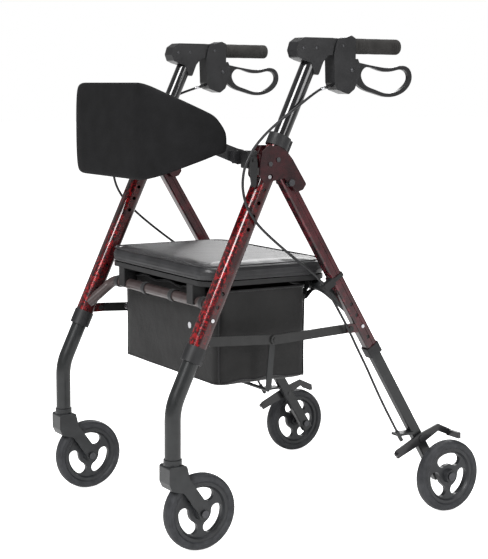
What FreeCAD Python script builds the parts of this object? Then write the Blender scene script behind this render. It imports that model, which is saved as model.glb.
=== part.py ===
import FreeCAD, Part
import math
import os
import Sketcher
from FreeCAD import Placement, Rotation, Vector

# A folding four-wheeled walker with a seat. Millimetres, +Z up, X across the walker.
# The front of the walker faces -Y and the user's left hand is on +X. The origin is on
# the floor, midway between the front and rear edges of the wheels.

doc = FreeCAD.newDocument("rollator_walker")
sheet = doc.addObject("Spreadsheet::Sheet", "dims")

DIMENSIONS = {
    # side frames
    "leg_plane_x": 251.0,
    "hub_y": -128.0,
    "hub_z": 757.0,
    "front_tilt": 25.0,
    "rear_tilt": 31.54,
    "front_tube_size": 35.0,
    "front_tube_corner": 13.0,
    "front_tube_wall": 1.4,
    "inner_tube_radius": 15.9,
    "inner_tube_bore": 14.3,
    "rear_tube_width": 22.0,
    "rear_tube_depth": 26.5,
    "rear_tube_corner": 4.0,
    "rear_bore_width": 17.8,
    "rear_bore_depth": 24.0,
    "rear_groove_width": 6.5,
    "rear_groove_depth": 1.1,
    "rear_lower_width": 17.2,
    "rear_lower_depth": 23.4,
    "rear_lower_wall": 1.6,
    "hole_radius": 4.0,
    "button_radius": 3.7,
    "front_collar_radius": 21.0,
    "bushing_radius": 22.5,
    "bushing_length": 24.0,
    # wheels
    "wheel_radius": 76.0,
    "axle_y": 290.0,
    "tyre_width": 27.0,
    "tyre_depth": 17.0,
    "axle_radius": 4.0,
    "rear_wheel_x": 293.3,
    "stem_y": -348.0,
    "stem_ring_z": 187.0,
    # seat
    "seat_half_width": 225.0,
    "seat_front_y": -262.0,
    "seat_rear_y": 45.0,
    "seat_top_z": 546.0,
    "seat_pad_height": 32.0,
    "seat_board_height": 10.0,
    "seat_corner": 45.0,
    "cross_tube_radius": 11.0,
    "front_cross_y": -240.0,
    "front_cross_z": 469.0,
    "rear_cross_y": 14.0,
    "rear_cross_z": 490.6,
    # bag
    "bag_half_width": 205.0,
    "bag_front_y": -222.0,
    "bag_rear_y": -8.0,
    "bag_top_z": 492.0,
    "bag_floor_z": 302.0,
    "bag_wall": 3.0,
    # side braces
    "brace_z": 405.0,
    "brace_drop": 8.0,
    "brace_front_y": -261.0,
    "brace_hinge_y": -120.0,
    "brace_rear_y": 58.0,
    "brace_height": 19.0,
    "brace_thickness": 4.0,
    # handles
    "grip_z": 972.0,
    "grip_radius": 15.5,
    "grip_start_y": 56.0,
    "grip_end_y": 172.0,
    "housing_width": 27.0,
    # brake cable
    "cable_radius": 2.6,
}
for row, (alias, value) in enumerate(DIMENSIONS.items(), start=1):
    sheet.set("A%d" % row, alias)
    sheet.set("B%d" % row, "%g" % value)
    sheet.setAlias("B%d" % row, alias)
doc.recompute()


def dim(alias):
    """The value of one cell of the sheet."""
    return float(sheet.get(alias))


SIDES = {"left": 1, "right": -1}
LEG_X = dim("leg_plane_x")
HUB = Vector(0, dim("hub_y"), dim("hub_z"))
FRONT_TILT = math.radians(dim("front_tilt"))
REAR_TILT = math.radians(dim("rear_tilt"))
FRONT_TURN = -dim("front_tilt")
REAR_TURN = dim("rear_tilt")
X_AXIS = Vector(1, 0, 0)
CUT_MARGIN = 60.0


def front_leg(z, x=0.0):
    """The point of the front leg's axis at a height."""
    return Vector(x, HUB.y - math.tan(FRONT_TILT) * (HUB.z - z), z)


def rear_leg(z, x=0.0):
    """The point of the rear leg's axis at a height."""
    return Vector(x, HUB.y + math.tan(REAR_TILT) * (HUB.z - z), z)


# Part primitives bound to the sheet. A size is a number or an expression of aliases.

def bind(thing, prop, size):
    if isinstance(size, str):
        for alias in DIMENSIONS:
            size = size.replace(alias, "<<%s>>" % alias)
        size = size.replace("<<", "dims.").replace(">>", "")
        thing.setExpression(prop, size)
    else:
        setattr(thing, prop, size)


def cylinder(radius, length, place):
    """A round bar along its own Z, from its placement's origin."""
    thing = doc.addObject("Part::Cylinder", "bar")
    bind(thing, "Radius", radius)
    bind(thing, "Height", length)
    thing.Placement = place
    return thing


def cross_bar(radius, length, centre):
    """A round bar along X, centred on a point."""
    thing = doc.addObject("Part::Cylinder", "cross_bar")
    bind(thing, "Radius", radius)
    bind(thing, "Height", length)
    start = centre - Vector(length / 2, 0, 0)
    thing.Placement = Placement(start, Rotation(Vector(0, 1, 0), 90))
    return thing


def block(size_x, size_y, size_z, centre, degrees=0.0):
    """A box centred on a point and turned about X."""
    thing = doc.addObject("Part::Box", "block")
    bind(thing, "Length", size_x)
    bind(thing, "Width", size_y)
    bind(thing, "Height", size_z)
    doc.recompute()
    half = Vector(thing.Length.Value, thing.Width.Value, thing.Height.Value) * 0.5
    turn = Rotation(X_AXIS, degrees)
    thing.Placement = Placement(centre - turn.multVec(half), turn)
    return thing


def rounded(thing, radius, direction):
    """Rounds the straight edges of a block or plate that run along a direction."""
    doc.recompute()
    chosen = []
    for index, edge in enumerate(thing.Shape.Edges, start=1):
        if edge.Curve.TypeId != "Part::GeomLine":
            continue
        if abs(edge.tangentAt(edge.FirstParameter).dot(direction)) > 0.999:
            chosen.append((index, radius, radius))
    fillet = doc.addObject("Part::Fillet", "rounded")
    fillet.Base = thing
    fillet.Edges = chosen
    return fillet


def cut(base, *tools):
    for tool in tools:
        result = doc.addObject("Part::Cut", "cut")
        result.Base = base
        result.Tool = tool
        base = result
    return base


def fuse(*things):
    result = doc.addObject("Part::MultiFuse", "fused")
    result.Shapes = list(things)
    result.Refine = True
    return result


def group(*things):
    """Separate solids that share one node."""
    result = doc.addObject("Part::Compound", "group")
    result.Links = list(things)
    return result


NODES = []


def node(label, thing):
    """Gives a finished sub-part its name."""
    thing.Label = label
    NODES.append(thing)
    return thing


def origin_plane(body, role):
    return [item for item in body.Origin.OriginFeatures if item.Role == role][0]


def add_outline(sketch, points):
    """A closed outline of straight lines, each corner held by its two distances."""
    count = len(points)
    for index, (across, up) in enumerate(points):
        next_across, next_up = points[(index + 1) % count]
        sketch.addGeometry(
            Part.LineSegment(Vector(across, up, 0), Vector(next_across, next_up, 0)), False
        )
    for index, (across, up) in enumerate(points):
        sketch.addConstraint(
            Sketcher.Constraint("Coincident", index, 2, (index + 1) % count, 1)
        )
        sketch.addConstraint(Sketcher.Constraint("DistanceX", -1, 1, index, 1, across))
        sketch.addConstraint(Sketcher.Constraint("DistanceY", -1, 1, index, 1, up))


def add_smooth_outline(sketch, points):
    """A closed smooth curve through the points."""
    curve = Part.BSplineCurve()
    curve.interpolate(Points=[Vector(a, b, 0) for a, b in points], PeriodicFlag=True)
    sketch.addGeometry(curve, False)


def plate(points, thickness, centre_x, corner=0.0, smooth=False):
    """A flat plate in the YZ plane from an outline of (y, z) points, centred on centre_x."""
    body = doc.addObject("PartDesign::Body", "plate")
    sketch = body.newObject("Sketcher::SketchObject", "outline")
    sketch.AttachmentSupport = [(origin_plane(body, "YZ_Plane"), "")]
    sketch.MapMode = "FlatFace"
    if smooth:
        add_smooth_outline(sketch, points)
    else:
        add_outline(sketch, points)
    pad = body.newObject("PartDesign::Pad", "pad")
    pad.Profile = sketch
    pad.Midplane = True
    bind(pad, "Length", thickness)
    body.Placement = Placement(Vector(centre_x, 0, 0), Rotation())
    doc.recompute()
    if corner:
        names = []
        for index, edge in enumerate(pad.Shape.Edges, start=1):
            if abs(edge.tangentAt(edge.FirstParameter).x) > 0.999:
                names.append("Edge%d" % index)
        fillet = body.newObject("PartDesign::Fillet", "corners")
        fillet.Base = (pad, names)
        fillet.Radius = corner
        body.Tip = fillet
    return body


def turned_ring(points, centre):
    """A ring round the X axis from a closed outline of (x, radius) points."""
    body = doc.addObject("PartDesign::Body", "ring")
    sketch = body.newObject("Sketcher::SketchObject", "section")
    sketch.AttachmentSupport = [(origin_plane(body, "XY_Plane"), "")]
    sketch.MapMode = "FlatFace"
    add_outline(sketch, points)
    turn = body.newObject("PartDesign::Revolution", "turned")
    turn.Profile = sketch
    turn.ReferenceAxis = (sketch, ["H_Axis"])
    turn.Angle = 360.0
    body.Placement = Placement(centre, Rotation())
    return body


def bent_path(points, radii):
    """Straight runs joined by tangent arcs, one radius for each inner point."""
    edges = []
    start = points[0]
    for before, corner, after, radius in zip(points, points[1:], points[2:], radii):
        towards = (before - corner).normalize()
        away = (after - corner).normalize()
        half_angle = towards.getAngle(away) / 2
        setback = radius / math.tan(half_angle)
        bisector = (towards + away).normalize()
        middle = corner + bisector * (radius / math.sin(half_angle) - radius)
        arc_start = corner + towards * setback
        arc_end = corner + away * setback
        edges.append(Part.LineSegment(start, arc_start).toShape())
        edges.append(Part.Arc(arc_start, middle, arc_end).toShape())
        start = arc_end
    edges.append(Part.LineSegment(start, points[-1]).toShape())
    return Part.Wire(edges)


def swept(path, radius, bore=0.0):
    """A round bar or tube along a path of straight runs and arcs."""
    direction = path.Edges[0].tangentAt(path.Edges[0].FirstParameter)
    start = path.Edges[0].valueAt(path.Edges[0].FirstParameter)
    circles = [Part.Wire(Part.makeCircle(radius, start, direction))]
    if bore:
        circles.append(Part.Wire(Part.makeCircle(bore, start, direction)))
    solids = [path.makePipeShell([circle], True, False) for circle in circles]
    shape = solids[0].cut(solids[1]) if bore else solids[0]
    thing = doc.addObject("Part::Feature", "swept")
    thing.Shape = shape
    expected = math.pi * (radius ** 2 - bore ** 2) * path.Length
    print("swept radius %.1f length %.0f volume ratio %.4f"
          % (radius, path.Length, shape.Volume / expected))
    return thing


# ---------------------------------------------------------------- side frames

FRONT_UP = Vector(0, math.sin(FRONT_TILT), math.cos(FRONT_TILT))
REAR_UP = Vector(0, -math.sin(REAR_TILT), math.cos(REAR_TILT))
FRONT_TUBE_LOW_Z = 372.0
FRONT_TUBE_TOP_Z = 797.0
REAR_TUBE_LOW_Z = 352.0
REAR_TUBE_TOP_Z = 722.0
COLLAR_LENGTH = 32.0
HOLE_PITCH = 27.5
FRONT_BUTTON_Z = 449.0
HANDLE_BUTTON_Z = 719.0
REAR_BUTTON_Z = 408.0


def hole_row(line, up, first_z, steps, x):
    """Cutters for a row of button holes through a leg, along X."""
    return [
        cross_bar("hole_radius", CUT_MARGIN, line(first_z, x) + up * (HOLE_PITCH * step))
        for step in steps
    ]


def front_upper_tube(x):
    centre = (front_leg(FRONT_TUBE_LOW_Z, x) + front_leg(FRONT_TUBE_TOP_Z, x)) * 0.5
    length = (FRONT_TUBE_TOP_Z - FRONT_TUBE_LOW_Z) / math.cos(FRONT_TILT)
    outer = block("front_tube_size", "front_tube_size", length, centre, FRONT_TURN)
    outer = rounded(outer, dim("front_tube_corner"), FRONT_UP)
    bore_size = "front_tube_size - 2 * front_tube_wall"
    bore = block(bore_size, bore_size, length + 2, centre, FRONT_TURN)
    bore = rounded(bore, dim("front_tube_corner") - dim("front_tube_wall"), FRONT_UP)
    holes = hole_row(front_leg, FRONT_UP, HANDLE_BUTTON_Z, (0, -1, -2, -3, -4), x)
    holes += hole_row(front_leg, FRONT_UP, FRONT_BUTTON_Z, (0, 1, 2), x)
    return cut(outer, bore, *holes)


def rear_upper_tube(x):
    centre = (rear_leg(REAR_TUBE_LOW_Z, x) + rear_leg(REAR_TUBE_TOP_Z, x)) * 0.5
    length = (REAR_TUBE_TOP_Z - REAR_TUBE_LOW_Z) / math.cos(REAR_TILT)
    outer = block("rear_tube_width", "rear_tube_depth", length, centre, REAR_TURN)
    outer = rounded(outer, dim("rear_tube_corner"), REAR_UP)
    bore = block("rear_bore_width", "rear_bore_depth", length + 2, centre, REAR_TURN)
    tools = [bore]
    for face in (-1, 1):
        groove_centre = centre + X_AXIS * (face * dim("rear_tube_width") / 2)
        tools.append(block("2 * rear_groove_depth", "rear_groove_width", length + 2,
                           groove_centre, REAR_TURN))
    tools += hole_row(rear_leg, REAR_UP, REAR_BUTTON_Z, (-1, 0, 1, 2), x)
    tools.append(cross_bar(4.06, CUT_MARGIN, FOLD_PIVOT + X_AXIS * x))
    return cut(outer, *tools)


def brace_lug(tip_y, root_y, x):
    """A welded ear on a leg that carries one end of a brace link."""
    z = dim("brace_z")
    ear = plate([(root_y, z - 9), (tip_y, z - 9), (tip_y, z + 9), (root_y, z + 9)],
                5.0, x, 3.0)
    return ear


def front_collar(x):
    """The lower sleeve: its lip holds the upper tube's end, its bore guides the lower tube."""
    turn = Rotation(X_AXIS, FRONT_TURN)
    centre = front_leg(384.0, x)
    start = centre - FRONT_UP * (COLLAR_LENGTH / 2)
    outer = cylinder("front_collar_radius", COLLAR_LENGTH, Placement(start, turn))
    guide = cylinder("inner_tube_radius + 0.35", 2 * COLLAR_LENGTH,
                     Placement(start - FRONT_UP * 10, turn))
    tube_space = block("front_tube_size", "front_tube_size", 60.0,
                       front_leg(FRONT_TUBE_LOW_Z, x) + FRONT_UP * 30, FRONT_TURN)
    tube_space = rounded(tube_space, dim("front_tube_corner"), FRONT_UP)
    return cut(outer, guide, tube_space)


def handle_bushing(x):
    """The upper sleeve at the leg's top, with the boss of its clamp screw."""
    turn = Rotation(X_AXIS, FRONT_TURN)
    length = dim("bushing_length")
    start = front_leg(786.0, x) - FRONT_UP * (length / 2)
    outer = cylinder("bushing_radius", "bushing_length", Placement(start, turn))
    boss = block(12.0, 9.0, length, front_leg(786.0, x) + turn.multVec(Vector(0, 23.5, 0)),
                 FRONT_TURN)
    guide = cylinder("inner_tube_radius + 0.35", 2 * length,
                     Placement(start - FRONT_UP * 10, turn))
    tube_space = block("front_tube_size", "front_tube_size", 60.0,
                       front_leg(FRONT_TUBE_TOP_Z, x) - FRONT_UP * 30, FRONT_TURN)
    tube_space = rounded(tube_space, dim("front_tube_corner"), FRONT_UP)
    return cut(fuse(outer, boss), guide, tube_space)


def rear_collar(x):
    """The sleeve at the rear tube's lower end."""
    low = rear_leg(REAR_TUBE_LOW_Z, x)
    width = dim("rear_tube_width")
    depth = dim("rear_tube_depth")
    outer = block(width + 5, depth + 6, 22.0, low + REAR_UP * 5, REAR_TURN)
    outer = rounded(outer, 6.0, REAR_UP)
    tube_space = block("rear_tube_width", "rear_tube_depth", 40.0, low + REAR_UP * 20, REAR_TURN)
    guide = block("rear_lower_width + 0.7", "rear_lower_depth + 0.7", 60.0, low, REAR_TURN)
    return cut(outer, tube_space, guide)


HUB_SHELL_WALL = 3.0
HUB_INNER_WIDTH = 37.0
FOLD_PIVOT = rear_leg(707.0)
HUB_OUTLINE = [
    (-168, 748), (-164, 768), (-150, 779), (-128, 779), (-108, 768), (-94, 752), (-62, 703),
    (-70, 692), (-84, 688), (-112, 716), (-140, 711), (-160, 708), (-170, 722),
]


def hub_bracket(x):
    """Two shaped cheeks, one each side of the leg, joined by a strap over the front."""
    cheeks = []
    for side in (-1, 1):
        cheek_x = x + side * (HUB_INNER_WIDTH + HUB_SHELL_WALL) / 2
        cheeks.append(plate(HUB_OUTLINE, HUB_SHELL_WALL, cheek_x, 5.0))
    strap = block(HUB_INNER_WIDTH + 2, 3.0, 40.0, Vector(x, -167.5, 743.0), 3.0)
    pivot_hole = cross_bar(4.1, CUT_MARGIN, FOLD_PIVOT + X_AXIS * x)
    button_window = cross_bar(6.0, CUT_MARGIN, front_leg(HANDLE_BUTTON_Z, x))
    return cut(fuse(*cheeks, strap), pivot_hole, button_window)


def bolt(centre, length, radius, head_radius=6.5, head_height=3.0):
    """A bolt along X with a domed head outside and a nut inside."""
    shank = cross_bar(radius, length, centre)
    ends = [cross_bar(head_radius, head_height, centre + X_AXIS * (end * (length + head_height) / 2))
            for end in (-1, 1)]
    return fuse(shank, *ends)


def both(maker):
    """One piece on each side frame, as separate solids."""
    return group(*[maker(side * LEG_X) for side in SIDES.values()])


brace_z = dim("brace_z")
LUG_OFFSET = 7.5
PIN_RADIUS = 3.0


def front_tube_with_lug(x):
    root_y = front_leg(brace_z).y + 17.0
    lug_x = x - math.copysign(LUG_OFFSET, x)
    lug = brace_lug(dim("brace_front_y") + 7, root_y - 4, lug_x)
    clear = block("front_tube_size - 0.4", "front_tube_size - 0.4", 80.0,
                  front_leg(brace_z, x), FRONT_TURN)
    clear = rounded(clear, dim("front_tube_corner"), FRONT_UP)
    pin_hole = cross_bar(PIN_RADIUS + 0.08, 12.0, Vector(lug_x, dim("brace_front_y"), brace_z))
    return fuse(front_upper_tube(x), cut(lug, clear, pin_hole))


def rear_tube_with_lug(x):
    root_y = rear_leg(brace_z).y - 14.0
    lug_x = x + math.copysign(LUG_OFFSET, x)
    lug = brace_lug(root_y + 4, dim("brace_rear_y") - 7, lug_x)
    clear = block("rear_tube_width - 0.4", "rear_tube_depth - 0.4", 80.0,
                  rear_leg(brace_z, x), REAR_TURN)
    pin_hole = cross_bar(PIN_RADIUS + 0.08, 12.0, Vector(lug_x, dim("brace_rear_y"), brace_z))
    return fuse(rear_upper_tube(x), cut(lug, clear, pin_hole))


node("front_upper_tubes", both(front_tube_with_lug))
node("leg_collars", group(*[maker(side * LEG_X) for side in SIDES.values()
                            for maker in (front_collar, handle_bushing)]))
node("hub_brackets", both(hub_bracket))
node("rear_upper_tubes", both(rear_tube_with_lug))
node("rear_collars", both(rear_collar))


# ---------------------------------------------------------------- lower legs

FRONT_BEND_RADIUS = 110.0
FRONT_INSERT_Z = 500.0
REAR_INSERT_Z = 520.0
REAR_LOW_Z = 62.0


def front_lower_tube(x):
    stem_y = dim("stem_y")
    bend_z = HUB.z - (HUB.y - stem_y) / math.tan(FRONT_TILT)
    path = bent_path(
        [Vector(x, stem_y, dim("stem_ring_z") + 0.5), Vector(x, stem_y, bend_z),
         front_leg(FRONT_INSERT_Z, x)],
        [FRONT_BEND_RADIUS],
    )
    tube = swept(path, dim("inner_tube_radius"), dim("inner_tube_bore"))
    return cut(tube, cross_bar("hole_radius", CUT_MARGIN, front_leg(FRONT_BUTTON_Z, x)))


BRAKE_PIVOT = rear_leg(155.0)
ADJUSTER_TOP = Vector(267.5, 175.0, 178.0)


def on_side(point, side):
    """A point given for the left side, or its mirror image for the right."""
    return Vector(point.x * side, point.y, point.z)


def rear_lower_tube(x, side):
    centre = (rear_leg(REAR_LOW_Z, x) + rear_leg(REAR_INSERT_Z, x)) * 0.5
    length = (REAR_INSERT_Z - REAR_LOW_Z) / math.cos(REAR_TILT)
    outer = rounded(block("rear_lower_width", "rear_lower_depth", length, centre, REAR_TURN),
                    3.0, REAR_UP)
    bore = block("rear_lower_width - 2 * rear_lower_wall",
                 "rear_lower_depth - 2 * rear_lower_wall", length + 2, centre, REAR_TURN)
    axle_hole = cross_bar("axle_radius + 0.05", CUT_MARGIN,
                          Vector(x, dim("axle_y"), dim("wheel_radius")))
    button_hole = cross_bar("hole_radius", CUT_MARGIN, rear_leg(REAR_BUTTON_Z, x))
    brake_hole = cross_bar(4.06, CUT_MARGIN, BRAKE_PIVOT + X_AXIS * x)
    arm = block(24.0, 42.0, 5.0, Vector(x + side * 8.5, 196.5, 171.0))
    adjuster = cylinder(4.2, 24.0, Placement(on_side(ADJUSTER_TOP, side) - REAR_UP * 23,
                                             Rotation(X_AXIS, REAR_TURN)))
    return cut(fuse(outer, arm, adjuster), bore, axle_hole, button_hole, brake_hole)


# ---------------------------------------------------------------- wheels

def tyre(centre):
    """A solid tyre with a crowned tread and stepped shoulders."""
    radius = dim("wheel_radius")
    half = dim("tyre_width") / 2
    root = radius - dim("tyre_depth")
    return turned_ring(
        [(-half + 3, root), (half - 3, root), (half, root + 3), (half, radius - 6),
         (half - 3, radius - 2.2), (half - 8, radius - 0.5), (0, radius), (8 - half, radius - 0.5),
         (3 - half, radius - 2.2), (-half, radius - 6), (-half, root + 3)],
        centre,
    )


SPOKE_COUNT = 3
OPENING_RADIUS = 36.0
OPENING_HALF_WIDTH = 12.0
OPENING_HALF_ANGLE = math.radians(29.0)


def wheel_hub(centre):
    """A moulded wheel: rim, web with three rounded openings, and a hub round the axle."""
    rim = dim("wheel_radius") - dim("tyre_depth") - 0.02
    half = dim("tyre_width") / 2
    bore = dim("axle_radius") + 0.06
    body = turned_ring(
        [(-half - 1.5, bore), (half + 1.5, bore), (half + 1.5, 13), (5, 15), (5, 50),
         (half - 3.5, 53), (half - 3.5, rim), (3.5 - half, rim), (3.5 - half, 53), (-5, 50),
         (-5, 15), (-half - 1.5, 13)],
        Vector(),
    )
    doc.recompute()
    sketch = body.newObject("Sketcher::SketchObject", "opening")
    sketch.AttachmentSupport = [(origin_plane(body, "YZ_Plane"), "")]
    sketch.MapMode = "FlatFace"
    outer = OPENING_RADIUS + OPENING_HALF_WIDTH
    inner = OPENING_RADIUS - OPENING_HALF_WIDTH
    middle = math.pi / 2

    def spot(radius, angle):
        return Vector(radius * math.cos(angle), radius * math.sin(angle), 0)

    low = middle - OPENING_HALF_ANGLE
    high = middle + OPENING_HALF_ANGLE
    cap = OPENING_HALF_WIDTH / OPENING_RADIUS
    for arc in (
        (spot(outer, low), spot(outer, middle), spot(outer, high)),
        (spot(outer, high), spot(OPENING_RADIUS / math.cos(cap), high + cap), spot(inner, high)),
        (spot(inner, high), spot(inner, middle), spot(inner, low)),
        (spot(inner, low), spot(OPENING_RADIUS / math.cos(cap), low - cap), spot(outer, low)),
    ):
        sketch.addGeometry(Part.Arc(*arc), False)
    before = body.Shape.Volume
    pocket = body.newObject("PartDesign::Pocket", "opening_cut")
    pocket.Profile = sketch
    pocket.Type = 1
    pocket.Midplane = True
    doc.recompute()
    openings = body.newObject("PartDesign::PolarPattern", "openings")
    openings.Originals = [pocket]
    openings.Axis = (origin_plane(body, "X_Axis"), [""])
    openings.Angle = 360.0
    openings.Occurrences = SPOKE_COUNT
    body.Tip = openings
    doc.recompute()
    print("wheel hub openings cut", round(before - body.Shape.Volume), "mm3")
    body.Placement = Placement(centre, Rotation())
    return body


# ---------------------------------------------------------------- casters

FORK_WIDTH = 42.0
WHEEL_CLEAR_RADIUS = 79.5
WHEEL_CLEAR_WIDTH = 32.4
STEM_RADIUS = 11.0


def caster_fork(x):
    """A crown under the leg's stem with two arms that trail back to the axle."""
    stem_y = dim("stem_y")
    axle_y = -dim("axle_y")
    axle_z = dim("wheel_radius")
    ring_z = dim("stem_ring_z")
    outline = [
        (stem_y - 18, ring_z - 11), (stem_y + 20, ring_z - 11), (stem_y + 27, ring_z - 40),
        (axle_y + 13, axle_z + 10), (axle_y + 12, axle_z - 6), (axle_y + 3, axle_z - 13),
        (axle_y - 8, axle_z - 11), (axle_y - 14, axle_z + 4), (stem_y + 14, axle_z + 46),
        (stem_y - 12, ring_z - 58), (stem_y - 18, ring_z - 44),
    ]
    crown = plate(outline, FORK_WIDTH, x, 5.0)
    ring = cylinder(18.0, 11.0, Placement(Vector(x, stem_y, ring_z - 11.2), Rotation()))
    stem = cylinder(STEM_RADIUS, 40.0, Placement(Vector(x, stem_y, ring_z - 12), Rotation()))
    wheel_space = cross_bar(WHEEL_CLEAR_RADIUS, WHEEL_CLEAR_WIDTH, Vector(x, axle_y, axle_z))
    axle_hole = cross_bar("axle_radius + 0.05", CUT_MARGIN, Vector(x, axle_y, axle_z))
    return fuse(cut(crown, wheel_space, axle_hole), ring, stem)


for name, side in SIDES.items():
    leg_x = side * LEG_X
    front_centre = Vector(leg_x, -dim("axle_y"), dim("wheel_radius"))
    rear_centre = Vector(side * dim("rear_wheel_x"), dim("axle_y"), dim("wheel_radius"))
    node("front_lower_tube_" + name, front_lower_tube(leg_x))
    node("rear_lower_tube_" + name, rear_lower_tube(leg_x, side))
    node("caster_fork_" + name, caster_fork(leg_x))
    node("caster_axle_" + name, bolt(front_centre, FORK_WIDTH + 0.4, dim("axle_radius"), 7.5, 4.5))
    node("front_hub_" + name, wheel_hub(front_centre))
    node("front_tyre_" + name, tyre(front_centre))
    node("rear_hub_" + name, wheel_hub(rear_centre))
    node("rear_tyre_" + name, tyre(rear_centre))


# ---------------------------------------------------------------- hub fittings

def hub_fasteners(x):
    """The fold bolt with its spacers, and two rivet heads on the outer cheek."""
    centre = FOLD_PIVOT + X_AXIS * x
    width = HUB_INNER_WIDTH + 2 * HUB_SHELL_WALL
    pieces = [bolt(centre, width + 0.6, 4.0)]
    spacer = (HUB_INNER_WIDTH - dim("rear_tube_width")) / 2 - 0.4
    for end in (-1, 1):
        middle = end * (HUB_INNER_WIDTH / 2 - 0.2 - spacer / 2)
        ring = cross_bar(8.0, spacer, centre + X_AXIS * middle)
        pieces.append(cut(ring, cross_bar(4.02, spacer + 2, centre + X_AXIS * middle)))
    outward = math.copysign(1.0, x)
    for y, z in ((-146.0, 744.0), (-128.0, 752.0)):
        head = cross_bar(4.5, 2.0, Vector(x + outward * (width / 2 + 1.05), y, z))
        pieces.append(head)
    return pieces


BACKREST_PIVOT = Vector(0, -183.0, 757.0)
SOCKET_HALF = 12.0
BAND_PLANE = 17.0


def backrest_socket(x):
    """The block in front of the hub that carries the backrest's pivot pin."""
    inward = -math.copysign(1.0, x)
    body = rounded(block(2 * SOCKET_HALF, 22.0, 34.0, Vector(x, -181.1, 753.0)), 3.0, X_AXIS)
    pin = cross_bar(4.0, 10.0, BACKREST_PIVOT + X_AXIS * (x + inward * (SOCKET_HALF + 4.9)))
    head = cross_bar(6.5, 2.0, BACKREST_PIVOT + X_AXIS * (x + inward * (SOCKET_HALF + 10.5)))
    paddle_pin = cross_bar(3.0, 9.0, Vector(x - inward * (SOCKET_HALF + 4.4), -181.0, 752.0))
    return fuse(body, pin, head, paddle_pin)


def release_paddle(x):
    """The flat lever that hangs outside the socket and frees the backrest."""
    outward = math.copysign(1.0, x)
    outline = [(-190, 744), (-188, 758), (-174, 758), (-172, 744), (-175, 703), (-179, 699),
               (-184, 703)]
    blade = plate(outline, 5.0, x + outward * (SOCKET_HALF + 3.2), 1.5)
    hole = cross_bar(3.08, 20.0, Vector(x + outward * (SOCKET_HALF + 3.2), -181.0, 752.0))
    return cut(blade, hole)


node("hub_bolts", group(*hub_fasteners(LEG_X), *hub_fasteners(-LEG_X)))
node("backrest_sockets", both(backrest_socket))


# ---------------------------------------------------------------- brake cables

# The left cable's route from the brake housing, outside the front leg, through the clip on
# the rear leg and down in front of that leg to the adjuster above the rear wheel.
CABLE_ROUTE = [
    (251, -2.5, 890.8), (251.5, -18, 886.6), (261.5, -40, 878), (271, -62, 868),
    (276, -92, 850), (278, -127, 828), (279, -162, 802), (279, -190, 773), (278, -208, 740),
    (277, -212, 703), (276, -203, 667), (275, -180, 633), (275, -147, 603), (275, -110, 574),
    (274, -72, 546), (271, -38, 522), (266, -9, 496), (266, 12, 463), (268, 32, 430),
    (269, 51, 397), (269, 70, 362), (269, 91, 326), (268, 112, 287), (268, 133, 248),
    (267.5, 154, 213), (267.5, 174.1, 179.5),
]


def cable(side, radius):
    """One cable: straight runs joined by arcs as large as the runs allow."""
    points = [Vector(x * side, y, z) for x, y, z in CABLE_ROUTE]
    radii = []
    for before, corner, after in zip(points, points[1:], points[2:]):
        run_in = corner - before
        run_out = after - corner
        turn_angle = run_in.getAngle(run_out)
        radii.append(0.45 * min(run_in.Length, run_out.Length) / math.tan(turn_angle / 2))
    print("cable radii", [round(value) for value in radii])
    return swept(bent_path(points, radii), radius)


node("brake_cables", group(*[cable(side, dim("cable_radius")) for side in SIDES.values()]))


# ---------------------------------------------------------------- cross tubes

CROSS_BEND = 26.0
CROSS_BORE = 9.4


def arch_tube(centre_y, centre_z, shoulder_x, foot):
    """A tube across the walker whose bent ends run down to the legs."""
    radius = dim("cross_tube_radius")
    ends = [Vector(-foot.x, foot.y, foot.z), foot]
    path = bent_path(
        [ends[0], Vector(-shoulder_x, centre_y, centre_z),
         Vector(shoulder_x, centre_y, centre_z), ends[1]],
        [CROSS_BEND, CROSS_BEND],
    )
    return swept(path, radius, CROSS_BORE)


def leg_space(centre, width, depth, degrees):
    return [block(width + 0.5, depth + 0.5, 200.0, centre + X_AXIS * (side * LEG_X), degrees)
            for side in SIDES.values()]


FRONT_FOOT = Vector(240.0, -290.0, 418.0)
REAR_FOOT = Vector(246.0, 67.0, 440.0)
front_arch = arch_tube(dim("front_cross_y"), dim("front_cross_z"), 213.0, FRONT_FOOT)
rear_arch = arch_tube(dim("rear_cross_y"), dim("rear_cross_z"), 224.0, REAR_FOOT)
front_size = dim("front_tube_size")
node("front_cross_tube",
     cut(front_arch, *leg_space(front_leg(425.0), front_size, front_size, FRONT_TURN)))
node("rear_cross_tube",
     cut(rear_arch, *leg_space(rear_leg(435.0), dim("rear_tube_width"),
                               dim("rear_tube_depth"), REAR_TURN)))


def cable_clip(x):
    """A spring clip round the rear leg, with the eye that holds the cable."""
    outward = round(math.copysign(1.0, x))
    centre = rear_leg(512.0, x)
    width = dim("rear_tube_width")
    depth = dim("rear_tube_depth")
    band = rounded(block(width + 5, depth + 5, 8.0, centre, REAR_TURN), 5.0, REAR_UP)
    eye = block(13.0, 26.0, 15.0, Vector(x + outward * 14.5, -2.0, 499.5), REAR_TURN)
    leg = block(width + 0.3, depth + 0.3, 60.0, centre, REAR_TURN)
    return cut(fuse(band, eye), leg, cable(outward, dim("cable_radius") + 0.3))


# ---------------------------------------------------------------- braces and bag bar

HINGE = Vector(0, dim("brace_hinge_y"), brace_z - dim("brace_drop"))
LINK_GAP = 0.5


def link(start, end, x):
    """A flat bar with round ends between two (y, z) points."""
    height = dim("brace_height")
    run = end - start
    angle = math.degrees(math.atan2(run.z, run.y))
    bar = block("brace_thickness", run.Length, height,
                (start + end) * 0.5 + X_AXIS * x, angle)
    caps = [cross_bar(height / 2, dim("brace_thickness"), point + X_AXIS * x)
            for point in (start, end)]
    return fuse(bar, *caps)


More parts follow.
